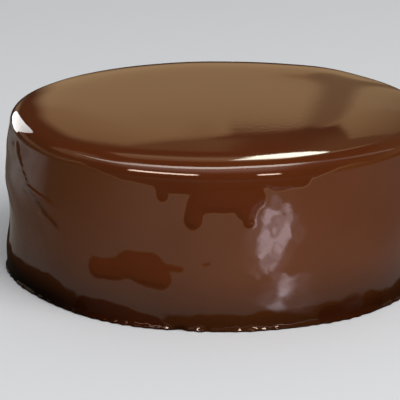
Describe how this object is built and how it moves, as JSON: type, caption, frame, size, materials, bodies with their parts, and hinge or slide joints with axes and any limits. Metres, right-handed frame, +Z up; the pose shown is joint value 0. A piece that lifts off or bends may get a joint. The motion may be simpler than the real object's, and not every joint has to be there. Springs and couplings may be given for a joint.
{
  "type": "chocolate mud cake",
  "caption": "Whole round chocolate mud cake with a rounded brim, under a poured mirror glaze that has run and set down its side.",
  "frame": {"origin": "centre of the flat underside, on the cake's axis", "axes": "+Z up along the cake's axis; -Y towards the front, the side with the runs of glaze; +X to the right seen from the front"},
  "size_m": [0.205, 0.2044, 0.0778],
  "materials": {
    "chocolate_glaze": "smooth dark milk-chocolate mirror glaze, high gloss"
  },
  "bodies": {
    "root": {"glazed_cake": "chocolate_glaze"}
  },
  "joints": []
}
